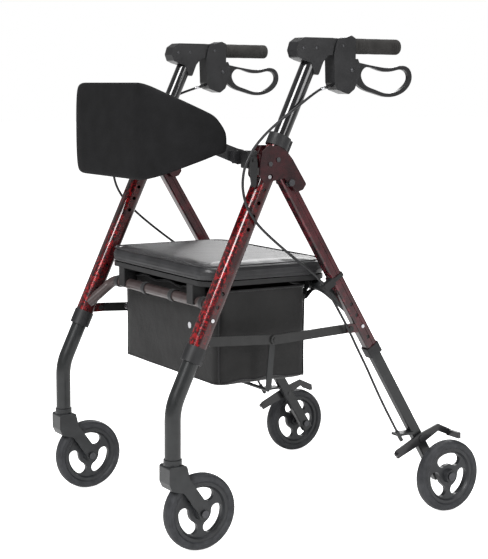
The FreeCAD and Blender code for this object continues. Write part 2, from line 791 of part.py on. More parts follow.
def front_link(x):
    """The front brace link with its leg pin and the hinge pin that also carries the bag bar."""
    inward = -math.copysign(1.0, x)
    thickness = dim("brace_thickness")
    link_x = x + inward * (thickness + LINK_GAP) / 2
    start = Vector(0, dim("brace_front_y"), brace_z)
    lug_face = x + inward * (LUG_OFFSET + 2.5)
    leg_pin = cross_bar(PIN_RADIUS, 9.0, start + X_AXIS * (lug_face - inward * 4.0))
    leg_head = cross_bar(5.5, 2.0, start + X_AXIS * (lug_face + inward * 1.2))
    hinge_pin = cross_bar(PIN_RADIUS, 9.0, HINGE + X_AXIS * (link_x + inward * 4.5))
    hinge_head = cross_bar(5.5, 2.0, HINGE + X_AXIS * (link_x + inward * 9.2))
    return fuse(link(start, HINGE, link_x), leg_pin, leg_head, hinge_pin, hinge_head)


def rear_link(x):
    """The rear brace link; its front end laps the front link with a rivet head outside."""
    outward = math.copysign(1.0, x)
    thickness = dim("brace_thickness")
    link_x = x + outward * (thickness + LINK_GAP) / 2
    end = Vector(0, dim("brace_rear_y"), brace_z)
    lug_face = x + outward * (LUG_OFFSET + 2.5)
    leg_pin = cross_bar(PIN_RADIUS, 9.0, end + X_AXIS * (lug_face - outward * 4.0))
    leg_head = cross_bar(5.5, 2.0, end + X_AXIS * (lug_face + outward * 1.2))
    rivet = cross_bar(5.0, 2.0, HINGE + X_AXIS * (link_x + outward * (thickness / 2 + 0.9)))
    return fuse(link(HINGE, end, link_x), leg_pin, leg_head, rivet)


def bag_bar():
    """A rod under the bag, hung from the two brace hinges by flat straps."""
    foot = Vector(0, -129.0, 295.0)
    strap_x = LEG_X - 7.2
    pieces = [cross_bar(3.5, 2 * strap_x, foot)]
    for side in SIDES.values():
        strap_place = X_AXIS * (side * strap_x)
        run = foot - HINGE
        angle = math.degrees(math.atan2(run.z, run.y))
        pieces.append(block(2.5, run.Length, 13.0, (foot + HINGE) * 0.5 + strap_place, angle))
        pieces.append(cross_bar(6.5, 2.5, HINGE + strap_place))
    bar = fuse(*pieces)
    holes = [cross_bar(PIN_RADIUS + 0.08, 10.0, HINGE + X_AXIS * (side * strap_x))
             for side in SIDES.values()]
    return cut(bar, *holes)


node("cable_clips", both(cable_clip))
node("brace_front_links", both(front_link))
node("brace_rear_links", both(rear_link))
node("bag_bar", bag_bar())


# ---------------------------------------------------------------- seat

def seat_slab(low_z, height, inset):
    half = dim("seat_half_width") - inset
    front = dim("seat_front_y") + inset
    rear = dim("seat_rear_y") - inset
    centre = Vector(0, (front + rear) / 2, low_z + height / 2)
    slab = block(2 * half, rear - front, height, centre)
    return rounded(slab, dim("seat_corner") - inset / 2, Vector(0, 0, 1))


board_low_z = dim("seat_top_z") - dim("seat_pad_height") - dim("seat_board_height")
pad_low_z = board_low_z + dim("seat_board_height")
CLIP_X = 150.0


def seat_clip(x):
    """A clip under the seat that snaps over the front cross tube and is the seat's hinge."""
    tube = Vector(x, dim("front_cross_y"), dim("front_cross_z"))
    low_z = tube.z - 4.5
    middle = Vector(x, tube.y, (low_z + board_low_z) / 2)
    shell = rounded(block(26.0, 30.0, board_low_z - low_z, middle), 2.0, Vector(0, 0, 1))
    bore = cross_bar("cross_tube_radius + 0.08", 40.0, tube)
    mouth = block(40.0, 19.0, 30.0, tube - Vector(0, 0, 15.0))
    return cut(shell, bore, mouth)


node("seat_board", seat_slab(board_low_z, dim("seat_board_height") - 0.2, 8.0))
node("seat_pad", seat_slab(pad_low_z, dim("seat_pad_height"), 0.0))
node("seat_clips", group(*[seat_clip(side * CLIP_X) for side in SIDES.values()]))


# ---------------------------------------------------------------- bag

def bag_shell():
    """An open-topped shell with a wall of cloth thickness."""
    half = dim("bag_half_width")
    front = dim("bag_front_y")
    rear = dim("bag_rear_y")
    low = dim("bag_floor_z")
    top = dim("bag_top_z")
    wall = dim("bag_wall")
    centre = Vector(0, (front + rear) / 2, (low + top) / 2)
    outer = rounded(block(2 * half, rear - front, top - low, centre), 14.0, Vector(0, 0, 1))
    inner = block(2 * (half - wall), rear - front - 2 * wall, top - low,
                  centre + Vector(0, 0, wall))
    return cut(outer, rounded(inner, 11.0, Vector(0, 0, 1)))


STRAP_X = (-185.0, -60.0, 60.0, 185.0)


def bag_strap(x, tube_y, tube_z, wall_y):
    """A loop round a cross tube with a tail that is sewn to the bag's wall."""
    tube = Vector(x, tube_y, tube_z)
    radius = dim("cross_tube_radius")
    towards = math.copysign(1.0, wall_y - tube_y)
    loop = cross_bar(radius + 1.8, 16.0, tube)
    tail_low = dim("bag_top_z") - 36.0
    tail_high = tube_z + 2.0
    tail = block(16.0, 2.0, tail_high - tail_low,
                 Vector(x, wall_y - towards * 1.15, (tail_low + tail_high) / 2))
    reach = abs(wall_y - tube_y) - radius
    bridge = block(16.0, reach, 8.0, Vector(x, tube_y + towards * (radius + reach / 2 - 0.3),
                                            tube_z - 2.0))
    return cut(fuse(loop, tail, bridge), cross_bar(radius + 0.2, 30.0, tube))


SNAP_PLACES = ((-190.0, 412.0), (96.0, 412.0))

node("bag", bag_shell())
node("bag_straps", group(
    *[bag_strap(x, dim("front_cross_y"), dim("front_cross_z"), dim("bag_front_y"))
      for x in STRAP_X],
    *[bag_strap(x, dim("rear_cross_y"), dim("rear_cross_z"), dim("bag_rear_y"))
      for x in STRAP_X],
))
node("bag_snaps", group(*[
    cylinder(6.5, 2.5, Placement(Vector(x, dim("bag_front_y") - 0.05, z), Rotation(X_AXIS, 90)))
    for x, z in SNAP_PLACES
]))


# ---------------------------------------------------------------- backrest

PAD_HALF_WIDTH = 234.0
PAD_FRONT_Y = -362.0
PAD_THICKNESS = 20.0
PAD_CORNER = 118.0
PAD_PROFILE = [
    (-214, 766), (-214, 793), (-234, 832), (-292, 860), (-332, 882), (-364, 909),
    (-364, 703), (-332, 722), (-292, 741), (-234, 763),
]
BAND_THICKNESS = 2.0
BAND_PROFILE = [
    (-176, 744), (-176, 770), (-190, 773), (-300, 812), (-364, 826), (-364, 798),
    (-300, 784), (-190, 742),
]


def curved_wall(outer_inset, thickness, profile):
    """A U-shaped upright wall round the front, trimmed to a side profile of (y, z) points."""
    half = PAD_HALF_WIDTH - outer_inset
    front = PAD_FRONT_Y + outer_inset
    corner = PAD_CORNER - outer_inset
    depth = 400.0
    middle_z = 800.0
    walls = []
    for inset in (0.0, thickness):
        centre = Vector(0, front + inset + depth / 2, middle_z)
        slab = block(2 * (half - inset), depth, 400.0, centre)
        walls.append(rounded(slab, corner - inset, Vector(0, 0, 1)))
    side_view = plate(profile, 2 * PAD_HALF_WIDTH + 10, 0.0)
    common = doc.addObject("Part::Common", "common")
    common.Base = cut(*walls)
    common.Tool = side_view
    return common


band_inset = (PAD_THICKNESS - BAND_THICKNESS) / 2
band_wall = curved_wall(band_inset, BAND_THICKNESS, BAND_PROFILE)
band_ears = []
for side in SIDES.values():
    ear_x = side * (LEG_X - BAND_PLANE)
    band_x = side * (PAD_HALF_WIDTH - band_inset - BAND_THICKNESS / 2)
    ear = cross_bar(12.5, 3.0, BACKREST_PIVOT + X_AXIS * ear_x)
    step = block(abs(ear_x - band_x) + 2.5, 14.0, 20.0,
                 Vector((ear_x + band_x) / 2, -201.0, 759.0))
    tongue = block(3.0, 24.0, 24.0, Vector(ear_x, -196.0, 757.0))
    band_ears += [ear, step, tongue]
band_holes = [cross_bar(4.06, 5.0, BACKREST_PIVOT + X_AXIS * (side * (LEG_X - BAND_PLANE)))
              for side in SIDES.values()]
node("backrest_band", cut(fuse(band_wall, *band_ears), *band_holes))
node("backrest_pad", cut(curved_wall(0.0, PAD_THICKNESS, PAD_PROFILE),
                         curved_wall(band_inset, BAND_THICKNESS, BAND_PROFILE)))


# ---------------------------------------------------------------- handles

HEAD_OUTLINE = [
    (-85, 962), (-80, 978), (-66, 987), (0, 987), (56, 985), (56, 958), (18, 956), (-10, 953),
    (-22, 940), (-33, 914), (-42, 916), (-50, 938), (-68, 943), (-80, 948),
]
HEAD_WIDTH = 34.0
HEAD_WAIST = 27.0
HOUSING_OUTLINE = [
    (4, 956), (6, 900), (12, 886), (40, 877), (54, 887), (65, 912), (67, 936), (57, 956),
    (57, 986), (45, 993), (32, 988), (14, 987), (8, 974),
]
LEVER_PIVOT = Vector(0, 48.0, 925.0)
LEVER_OUTLINE = [
    (35, 922), (40, 937), (54, 941), (84, 938), (122, 932), (158, 931), (182, 935), (199, 929),
    (206, 912), (197, 891), (173, 876), (141, 872), (110, 879), (78, 890), (60, 902), (42, 909),
]
LEVER_LOOP = [
    (80, 922), (88, 930), (122, 925), (158, 924), (182, 927), (194, 921), (197, 909), (188, 895),
    (168, 883), (142, 879), (112, 887), (88, 897), (80, 908),
]


def handle_tube(x):
    turn = Rotation(X_AXIS, FRONT_TURN)
    low = front_leg(690.0, x)
    length = (950.0 - 690.0) / math.cos(FRONT_TILT)
    outer = cylinder("inner_tube_radius", length, Placement(low, turn))
    inner = cylinder("inner_tube_bore", length + 2, Placement(low - FRONT_UP, turn))
    return cut(outer, inner, cross_bar("hole_radius", CUT_MARGIN, front_leg(HANDLE_BUTTON_Z, x)))


def handle_head(x):
    """The casting that joins the tube to the grip's core."""
    body = plate(HEAD_OUTLINE, HEAD_WIDTH, x, 4.0)
    socket = cylinder("inner_tube_radius + 0.03", 80.0,
                      Placement(front_leg(950.2, x) - FRONT_UP * 80, Rotation(X_AXIS, FRONT_TURN)))
    waists = [block(10.0, 90.0, 60.0,
                    Vector(x + side * (HEAD_WAIST / 2 + 5), 45.0, 960.0))
              for side in SIDES.values()]
    core_start = Vector(x, 50.0, dim("grip_z"))
    core = cylinder(10.0, 116.0, Placement(core_start, Rotation(X_AXIS, -90)))
    return fuse(cut(body, socket, *waists), core)


def grip(x):
    """A soft handgrip with an end flange and a rounded end."""
    start = dim("grip_start_y")
    end = dim("grip_end_y")
    radius = dim("grip_radius")
    body = doc.addObject("PartDesign::Body", "grip")
    sketch = body.newObject("Sketcher::SketchObject", "section")
    sketch.AttachmentSupport = [(origin_plane(body, "XY_Plane"), "")]
    sketch.MapMode = "FlatFace"
    add_outline(sketch, [
        (10.06, start + 0.5), (radius + 3, start + 0.5), (radius + 3, start + 4),
        (radius, start + 6), (radius, end - 5), (radius - 4, end), (2, end), (2, end - 3),
        (10.06, end - 3),
    ])
    turn = body.newObject("PartDesign::Revolution", "turned")
    turn.Profile = sketch
    turn.ReferenceAxis = (sketch, ["V_Axis"])
    turn.Angle = 360.0
    body.Placement = Placement(Vector(x, 0, dim("grip_z")), Rotation())
    return body


def brake_housing(x):
    """The cover that hangs under the head, open behind for the lever, with its pivot pin."""
    shell = plate(HOUSING_OUTLINE, "housing_width + 6", x, 6.0)
    slot = plate([(22, 884), (100, 884), (100, 955), (22, 955)], 13.0, x)
    head_spaces = [plate(HEAD_OUTLINE, HEAD_WAIST + 0.4, x, corner) for corner in (0.0, 4.0)]
    grip_space = cylinder(30.0, 40.0, Placement(Vector(x, 56.0, dim("grip_z")),
                                                Rotation(X_AXIS, -90)))
    front_space = block(50.0, 60.0, 80.0, Vector(x, -29.6, 990.0))
    pin = cross_bar(PIN_RADIUS, 26.0, LEVER_PIVOT + X_AXIS * x)
    ferrule = cylinder(3.6, 16.0, Placement(Vector(x, -2.0, 891.0),
                                            Rotation(X_AXIS, -75)))
    return fuse(cut(shell, slot, *head_spaces, grip_space, front_space), pin, ferrule)


def brake_lever(x):
    """The finger loop; its front end turns on the housing's pin."""
    blade = plate(LEVER_OUTLINE, 9.0, x, smooth=True)
    loop = plate(LEVER_LOOP, 20.0, x, smooth=True)
    return cut(blade, loop, cross_bar(PIN_RADIUS + 0.08, 30.0, LEVER_PIVOT + X_AXIS * x))


# ---------------------------------------------------------------- rear brakes and axles

SHOE_OUTLINE = [
    (172, 130), (180, 119), (248, 146), (286, 166), (310, 156), (313, 152), (322, 152),
    (320, 166), (286, 182), (240, 167), (176, 137),
]


def brake_shoe(side):
    """A bent lever on the leg: the cable lifts its front end and its tab presses the tyre."""
    x = side * (LEG_X + 13.0)
    arm = plate(SHOE_OUTLINE, 4.0, x, 1.5)
    tab = block(32.0, 7.0, 13.0, Vector(side * 282.0, 317.8, 158.8))
    pin = cross_bar(4.0, 24.0, BRAKE_PIVOT + X_AXIS * (side * (LEG_X + 2.0)))
    head = cross_bar(7.0, 2.5, BRAKE_PIVOT + X_AXIS * (side * (LEG_X + 16.1)))
    clamp = cross_bar(4.5, 11.0, Vector(side * (LEG_X + 15.5), 178.5, 128.0))
    return fuse(arm, tab, pin, head, clamp)


def rear_axle(side):
    """The axle bolt with its inner nut, spacer sleeve and outer head."""
    axle = Vector(0, dim("axle_y"), dim("wheel_radius"))
    leg_inner = LEG_X - dim("rear_lower_width") / 2
    leg_outer = LEG_X + dim("rear_lower_width") / 2
    hub_inner = dim("rear_wheel_x") - dim("tyre_width") / 2 - 1.5
    hub_outer = dim("rear_wheel_x") + dim("tyre_width") / 2 + 1.5
    start = leg_inner - 4.0
    end = hub_outer + 2.0
    shank = cross_bar(dim("axle_radius"), end - start, axle + X_AXIS * (side * (start + end) / 2))
    nut = cross_bar(7.0, 4.0, axle + X_AXIS * (side * (leg_inner - 2.2)))
    sleeve_length = hub_inner - leg_outer - 0.5
    sleeve = cross_bar(8.0, sleeve_length, axle + X_AXIS * (side * (hub_inner + leg_outer) / 2))
    head = cross_bar(9.0, 3.0, axle + X_AXIS * (side * (hub_outer + 1.7)))
    return fuse(shank, nut, sleeve, head)


def snap_button(point, side, tube_half):
    """A spring button of an inner tube, standing out through the hole of the outer tube."""
    length = 9.0
    middle = tube_half + 2.5 - length / 2
    return cross_bar("button_radius", length, point + X_AXIS * (side * (LEG_X + middle)))


for name, side in SIDES.items():
    leg_x = side * LEG_X
    node("handle_head_" + name, handle_head(leg_x))
    node("handle_tube_" + name, handle_tube(leg_x))
    node("grip_" + name, grip(leg_x))
    node("brake_housing_" + name, brake_housing(leg_x))
    node("brake_lever_" + name, brake_lever(leg_x))
    node("brake_shoe_" + name, brake_shoe(side))
    node("rear_axle_" + name, rear_axle(side))
    node("release_paddle_" + name, release_paddle(leg_x))
    node("handle_button_" + name,
         snap_button(front_leg(HANDLE_BUTTON_Z), side, dim("front_tube_size") / 2))
    node("front_leg_button_" + name,
         snap_button(front_leg(FRONT_BUTTON_Z), side, dim("front_tube_size") / 2))
    node("rear_leg_button_" + name,
         snap_button(rear_leg(REAR_BUTTON_Z), side, dim("rear_tube_width") / 2 - 1.0))


doc.recompute()
for thing in doc.Objects:
    if "Invalid" in thing.State or "Error" in thing.State:
        raise SystemExit("failed object: %s %s %s" % (thing.Name, thing.Label, thing.State))
for thing in NODES:
    if thing.Shape.isNull() or not thing.Shape.isValid():
        raise SystemExit("bad shape: " + thing.Label)
os.makedirs("parts", exist_ok=True)
for thing in NODES:
    thing.Shape.exportStep("parts/%s.step" % thing.Label)
print("wrote", len(NODES), "sub-parts")
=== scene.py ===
import bpy
import bmesh
import math
from mathutils import Matrix, Vector


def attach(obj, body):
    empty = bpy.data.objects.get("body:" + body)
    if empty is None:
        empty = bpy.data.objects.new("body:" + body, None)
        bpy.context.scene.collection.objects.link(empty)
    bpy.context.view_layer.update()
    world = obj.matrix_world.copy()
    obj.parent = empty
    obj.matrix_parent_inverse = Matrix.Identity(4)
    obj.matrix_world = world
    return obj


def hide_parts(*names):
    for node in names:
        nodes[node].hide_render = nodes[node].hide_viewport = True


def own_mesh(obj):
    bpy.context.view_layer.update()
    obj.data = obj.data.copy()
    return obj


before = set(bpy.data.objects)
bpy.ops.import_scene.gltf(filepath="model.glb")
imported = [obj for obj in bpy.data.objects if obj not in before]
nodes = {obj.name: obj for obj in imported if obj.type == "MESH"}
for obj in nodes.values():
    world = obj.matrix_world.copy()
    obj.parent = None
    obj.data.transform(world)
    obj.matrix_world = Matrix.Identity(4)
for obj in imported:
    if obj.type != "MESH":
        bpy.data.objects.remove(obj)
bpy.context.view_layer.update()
SIDES = {"left": 1, "right": -1}
LEG_X = 0.251


# ---------------------------------------------------------------- materials

class Paint:
    """A material under construction: its node tree, its shader and a few helpers."""

    def __init__(self, name, base, roughness, metallic=0.0, coat=0.0, sheen=0.0):
        self.material = bpy.data.materials.new(name)
        self.material.use_nodes = True
        self.tree = self.material.node_tree
        self.shader = self.tree.nodes["Principled BSDF"]
        self.shader.inputs["Base Color"].default_value = (*base, 1)
        self.shader.inputs["Roughness"].default_value = roughness
        self.shader.inputs["Metallic"].default_value = metallic
        self.shader.inputs["Coat Weight"].default_value = coat
        self.shader.inputs["Coat Roughness"].default_value = 0.06
        self.shader.inputs["Specular IOR Level"].default_value = 0.35
        self.shader.inputs["Sheen Weight"].default_value = sheen
        self.shader.inputs["Sheen Roughness"].default_value = 0.4
        self.place = self.add("ShaderNodeTexCoord")
        self.normal_out = None

    def add(self, kind, **settings):
        node = self.tree.nodes.new(kind)
        for key, value in settings.items():
            setattr(node, key, value)
        return node

    def link(self, start, end):
        self.tree.links.new(start, end)

    def scaled(self, stretch):
        mapping = self.add("ShaderNodeMapping")
        mapping.inputs["Scale"].default_value = stretch
        self.link(self.place.outputs["Object"], mapping.inputs["Vector"])
        return mapping.outputs["Vector"]

    def noise(self, scale, detail=3.0, rough=0.55, stretch=(1, 1, 1)):
        node = self.add("ShaderNodeTexNoise")
        node.inputs["Scale"].default_value = scale
        node.inputs["Detail"].default_value = detail
        node.inputs["Roughness"].default_value = rough
        self.link(self.scaled(stretch), node.inputs["Vector"])
        return node.outputs["Fac"]

    def ramp(self, value, *stops):
        """A colour ramp through (position, colour) stops."""
        node = self.add("ShaderNodeValToRGB")
        elements = node.color_ramp.elements
        while len(elements) < len(stops):
            elements.new(0.5)
        for element, (position, colour) in zip(elements, stops):
            element.position = position
            element.color = (*colour, 1)
        self.link(value, node.inputs["Fac"])
        return node.outputs["Color"]

    def mix(self, factor, first, second):
        node = self.add("ShaderNodeMix", data_type="RGBA")
        self.link(factor, node.inputs["Factor"])
        for value, socket in ((first, node.inputs["A"]), (second, node.inputs["B"])):
            if isinstance(value, tuple):
                socket.default_value = (*value, 1)
            else:
                self.link(value, socket)
        return node.outputs["Result"]

    def band(self, value, low, high):
        """0 below low, 1 above high."""
        node = self.add("ShaderNodeMapRange", interpolation_type="SMOOTHSTEP")
        node.inputs["From Min"].default_value = low
        node.inputs["From Max"].default_value = high
        self.link(value, node.inputs["Value"])
        return node.outputs["Result"]

    def colour(self, value):
        self.link(value, self.shader.inputs["Base Color"])
        return self

    def mottled(self, scale, dark, light):
        return self.colour(self.ramp(self.noise(scale), (0.3, dark), (0.7, light)))

    def rough(self, value, low, high):
        node = self.add("ShaderNodeMapRange")
        node.inputs["To Min"].default_value = low
        node.inputs["To Max"].default_value = high
        self.link(value, node.inputs["Value"])
        self.link(node.outputs["Result"], self.shader.inputs["Roughness"])
        return self

    def bump(self, height, strength, distance):
        node = self.add("ShaderNodeBump")
        node.inputs["Strength"].default_value = strength
        node.inputs["Distance"].default_value = distance
        self.link(height, node.inputs["Height"])
        if self.normal_out is not None:
            self.link(self.normal_out, node.inputs["Normal"])
        self.normal_out = node.outputs["Normal"]
        self.link(self.normal_out, self.shader.inputs["Normal"])
        return self


def moulded(name, base, rough=0.45, grain=900.0, strength=0.25, coat=0.0):
    """Moulded plastic: a fine spark-eroded grain and slightly uneven sheen."""
    paint = Paint(name, base, rough, coat=coat)
    dark = tuple(value * 0.75 for value in base)
    light = tuple(min(1.0, value * 1.35) for value in base)
    paint.mottled(40.0, dark, light)
    paint.rough(paint.noise(25.0), rough - 0.08, rough + 0.1)
    return paint.bump(paint.noise(grain, 2.0), strength, 0.0004).material


def painted(name, base, rough=0.3, coat=0.6, metallic=0.0):
    """Powder coat with a little orange peel under a clear gloss."""
    paint = Paint(name, base, rough, metallic=metallic, coat=coat)
    dark = tuple(value * 0.8 for value in base)
    light = tuple(min(1.0, value * 1.25) for value in base)
    paint.mottled(60.0, dark, light)
    paint.rough(paint.noise(90.0), rough - 0.07, rough + 0.08)
    return paint.bump(paint.noise(420.0, 2.0), 0.12, 0.0005).material


def crackle_paint(name, dark, middle, bright, shaded_side_colour, splashes=150.0, patches=36.0):
    """Splashed two-tone lacquer on the faces that look forward; the faces that look sideways
    and back get the last, plainer and darker colour instead, which is painted shade."""
    paint = Paint(name, middle, 0.26, metallic=0.2, coat=0.6)
    wander = paint.noise(30.0, 4.0, 0.6)
    splash = paint.noise(splashes, 7.0, 0.72)
    flecks = paint.ramp(splash, (0.46, dark), (0.52, middle), (0.60, bright), (0.66, middle))
    cloudy = paint.mix(paint.band(wander, 0.5, 0.62), flecks, dark)
    split = paint.add("ShaderNodeSeparateXYZ")
    paint.link(paint.place.outputs["Normal"], split.inputs["Vector"])
    # Painted light and shade: forward-facing faces keep the bright splashed colour, while faces
    # looking sideways and back get the plainer, darker painted-shade colour with blotches.
    shaded_side_mask = paint.band(split.outputs["Y"], -0.35, 0.15)
    shade = tuple(value * 0.45 for value in shaded_side_colour)
    shaded_side_blotches = paint.ramp(paint.noise(patches, 5.0, 0.65), (0.42, shade), (0.6, shaded_side_colour))
    paint.colour(paint.mix(shaded_side_mask, cloudy, shaded_side_blotches))
    paint.rough(wander, 0.18, 0.32)
    return paint.bump(paint.noise(300.0), 0.05, 0.0004).material


def turned_steel(name, base=(0.62, 0.62, 0.64), rough=0.28):
    paint = Paint(name, base, rough, metallic=1.0)
    paint.mottled(300.0, tuple(v * 0.75 for v in base), base)
    paint.rough(paint.noise(700.0, stretch=(0.2, 1, 1)), rough - 0.1, rough + 0.12)
    return paint.bump(paint.noise(1500.0, 2.0, stretch=(0.1, 1, 1)), 0.15, 0.0002).material


def tyre_rubber():
    paint = Paint("tyre_rubber", (0.02, 0.021, 0.023), 0.55)
    paint.mottled(70.0, (0.014, 0.015, 0.017), (0.032, 0.033, 0.037))
    paint.rough(paint.noise(60.0), 0.45, 0.68)
    return paint.bump(paint.noise(700.0, 3.0), 0.35, 0.0005).material


def soft_foam(name, base):
    """Skinned foam: a pebbled surface with no gloss."""
    paint = Paint(name, base, 0.8)
    paint.shader.inputs["Specular IOR Level"].default_value = 0.15
    paint.mottled(30.0, tuple(v * 0.8 for v in base), tuple(v * 1.3 for v in base))
    pebbles = paint.add("ShaderNodeTexVoronoi")
    pebbles.inputs["Scale"].default_value = 520.0
    paint.link(paint.place.outputs["Object"], pebbles.inputs["Vector"])
    paint.bump(pebbles.outputs["Distance"], 0.25, 0.0005)
    return paint.bump(paint.noise(14.0), 0.3, 0.002).material


def vinyl(name):
    """Upholstery vinyl: leather grain, soft creases and a broad sheen."""
    paint = Paint(name, (0.02, 0.02, 0.021), 0.38, coat=0.1)
    paint.mottled(22.0, (0.012, 0.012, 0.013), (0.026, 0.026, 0.028))
    paint.rough(paint.noise(35.0), 0.4, 0.48)
    grain = paint.add("ShaderNodeTexVoronoi", feature="DISTANCE_TO_EDGE")
    grain.inputs["Scale"].default_value = 430.0
    paint.link(paint.place.outputs["Object"], grain.inputs["Vector"])
    paint.bump(grain.outputs["Distance"], 0.3, 0.0006)
    return paint.bump(paint.noise(18.0, 4.0), 0.12, 0.0015).material


def woven(name, base, pitch=0.0013, crease=0.5, sheen=0.25):
    """Plain-woven nylon: crossed threads, creases and a faint sheen."""
    paint = Paint(name, base, 0.62, sheen=sheen)
    paint.mottled(18.0, tuple(v * 0.65 for v in base), tuple(v * 1.5 for v in base))
    for direction in ("X", "Z", "Y"):
        threads = paint.add("ShaderNodeTexWave", bands_direction=direction)
        threads.inputs["Scale"].default_value = 0.314 / pitch
        threads.inputs["Distortion"].default_value = 0.4
        paint.link(paint.place.outputs["Object"], threads.inputs["Vector"])
        paint.bump(threads.outputs["Fac"], 0.22, 0.0003)
    return paint.bump(paint.noise(16.0, 5.0, 0.6), crease, 0.004).material


red_crackle = crackle_paint("red_crackle", (0.016, 0.002, 0.003), (0.10, 0.002, 0.004),
                            (0.36, 0.005, 0.008), (0.050, 0.009, 0.010))
red_rear = crackle_paint("red_rear", (0.014, 0.003, 0.004), (0.06, 0.006, 0.010),
                         (0.13, 0.010, 0.018), (0.070, 0.012, 0.016), splashes=48.0, patches=26.0)
red_hub = crackle_paint("red_hub", (0.012, 0.003, 0.004), (0.035, 0.006, 0.008),
                        (0.09, 0.010, 0.014), (0.035, 0.008, 0.010), splashes=48.0, patches=26.0)
bronze = painted("bronze_paint", (0.05, 0.036, 0.035), 0.34, 0.3)
charcoal = painted("charcoal_paint", (0.012, 0.013, 0.0135), 0.34, 0.2)
link_paint = painted("link_paint", (0.013, 0.013, 0.013), 0.38, 0.15)
gloss_black = painted("gloss_black", (0.006, 0.006, 0.007), 0.14, 0.8)
body_plastic = moulded("body_plastic", (0.009, 0.009, 0.0095), 0.42)
head_plastic = moulded("head_plastic", (0.011, 0.011, 0.012), 0.34, coat=0.1)
collar_plastic = moulded("collar_plastic", (0.012, 0.012, 0.013), 0.46)
fork_plastic = moulded("fork_plastic", (0.016, 0.017, 0.018), 0.38, coat=0.1)
hub_plastic = moulded("hub_plastic", (0.02, 0.021, 0.023), 0.4, coat=0.05)
cable_skin = moulded("cable_skin", (0.012, 0.012, 0.013), 0.36, 1400.0, 0.1)
bolt_steel = turned_steel("bolt_steel")
dark_steel = turned_steel("dark_steel", (0.09, 0.09, 0.095), 0.36)
button_steel = turned_steel("button_steel", (0.75, 0.75, 0.78), 0.2)
brake_steel = painted("brake_steel", (0.014, 0.014, 0.015), 0.3, 0.3)
rubber = tyre_rubber()
foam = soft_foam("backrest_foam", (0.006, 0.006, 0.0065))
grip_rubber = soft_foam("grip_rubber", (0.028, 0.027, 0.026))
seat_vinyl = vinyl("seat_vinyl")
nylon = woven("bag_nylon", (0.0065, 0.0062, 0.0062), sheen=0.12)
webbing = woven("strap_webbing", (0.009, 0.009, 0.01), 0.0024, 0.1)

FINISHES = {
    "front_upper_tubes": red_crackle,
    "rear_upper_tubes": red_rear,
    "hub_brackets": red_hub,
    "leg_collars": collar_plastic,
    "rear_collars": collar_plastic,
    "hub_bolts": dark_steel,
    "backrest_sockets": body_plastic,
    "front_cross_tube": bronze,
    "rear_cross_tube": charcoal,
    "cable_clips": body_plastic,
    "brace_front_links": link_paint,
    "brace_rear_links": link_paint,
    "bag_bar": charcoal,
    "seat_board": body_plastic,
    "seat_clips": body_plastic,
    "backrest_band": brake_steel,
    "brake_cables": cable_skin,
    "bag": nylon,
    "bag_straps": webbing,
    "bag_snaps": button_steel,
    "seat_pad": seat_vinyl,
    "backrest_pad": foam,
}
SIDED_FINISHES = {
    "front_lower_tube": charcoal,
    "rear_lower_tube": charcoal,
    "caster_fork": fork_plastic,
    "caster_axle": dark_steel,
    "front_hub": hub_plastic,
    "rear_hub": hub_plastic,
    "front_tyre": rubber,
    "rear_tyre": rubber,
    "handle_tube": gloss_black,
    "handle_head": head_plastic,
    "grip": grip_rubber,
    "brake_housing": head_plastic,
    "brake_lever": head_plastic,
    "brake_shoe": brake_steel,
    "rear_axle": dark_steel,
    "release_paddle": body_plastic,
    "handle_button": button_steel,
    "front_leg_button": button_steel,
    "rear_leg_button": button_steel,
}
for stem, finish in SIDED_FINISHES.items():
    for side in SIDES:
        FINISHES[stem + "_" + side] = finish


def dress(thing, finish):
    thing.data.materials.clear()
    thing.data.materials.append(finish)


for name, finish in FINISHES.items():
    dress(nodes[name], finish)


# ---------------------------------------------------------------- mesh helpers

def piece(name, points, faces, finish, body, smooth=True):
    """A mesh in metres that rides on a body."""
    mesh = bpy.data.meshes.new(name)
    mesh.from_pydata([tuple(point) for point in points], [], faces)
    mesh.validate()
    mesh.polygons.foreach_set("use_smooth", [smooth] * len(mesh.polygons))
    thing = bpy.data.objects.new(name, mesh)
    bpy.context.scene.collection.objects.link(thing)
    mesh.materials.append(finish)
    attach(thing, body)
    return thing


def tidy_normals(thing):
    work = bmesh.new()
    work.from_mesh(thing.data)
    bmesh.ops.recalc_face_normals(work, faces=work.faces)
    work.to_mesh(thing.data)
    work.free()
    return thing


def subdivide(thing, levels=1):
    modifier = thing.modifiers.new("smooth", "SUBSURF")
    modifier.levels = levels
    modifier.render_levels = levels
    return thing


def baked(thing):
    """Its modifiers become its mesh."""
    graph = bpy.context.evaluated_depsgraph_get()
    mesh = bpy.data.meshes.new_from_object(thing.evaluated_get(graph))
    thing.modifiers.clear()
    thing.data = mesh
    return thing


def loft(rings, closed=True, capped=True):
    """Points and faces through rings of equal length; closed joins each ring's ends."""
    count = len(rings[0])
    points = [point for ring in rings for point in ring]
    faces = []
    for row in range(len(rings) - 1):
        for step in range(count if closed else count - 1):
            after = (step + 1) % count
            faces.append((row * count + step, row * count + after,
                          (row + 1) * count + after, (row + 1) * count + step))
    if capped:
        faces.append(tuple(reversed(range(count))))
        faces.append(tuple(range((len(rings) - 1) * count, len(rings) * count)))
    return points, faces


def rounded_outline(half_x, low_y, high_y, corner, per_corner=8, per_side=12):
    """Evenly walked points of a rectangle with round corners."""
    centre_y = (low_y + high_y) / 2
    half_y = (high_y - low_y) / 2
    corners = [(1, 1, 0), (-1, 1, 90), (-1, -1, 180), (1, -1, 270)]
    outline = []
    for along_x, along_y, start in corners:
        for step in range(per_corner + 1):
            angle = math.radians(start + 90 * step / per_corner)
            outline.append((along_x * (half_x - corner) + corner * math.cos(angle),
                            centre_y + along_y * (half_y - corner) + corner * math.sin(angle)))
    walked = []
    for here, after in zip(outline, outline[1:] + outline[:1]):
        walked.append(here)
        length = math.dist(here, after)
        if length > 0.03:
            walked += [(here[0] + (after[0] - here[0]) * step / per_side,
                        here[1] + (after[1] - here[1]) * step / per_side)
                       for step in range(1, per_side)]
    return walked


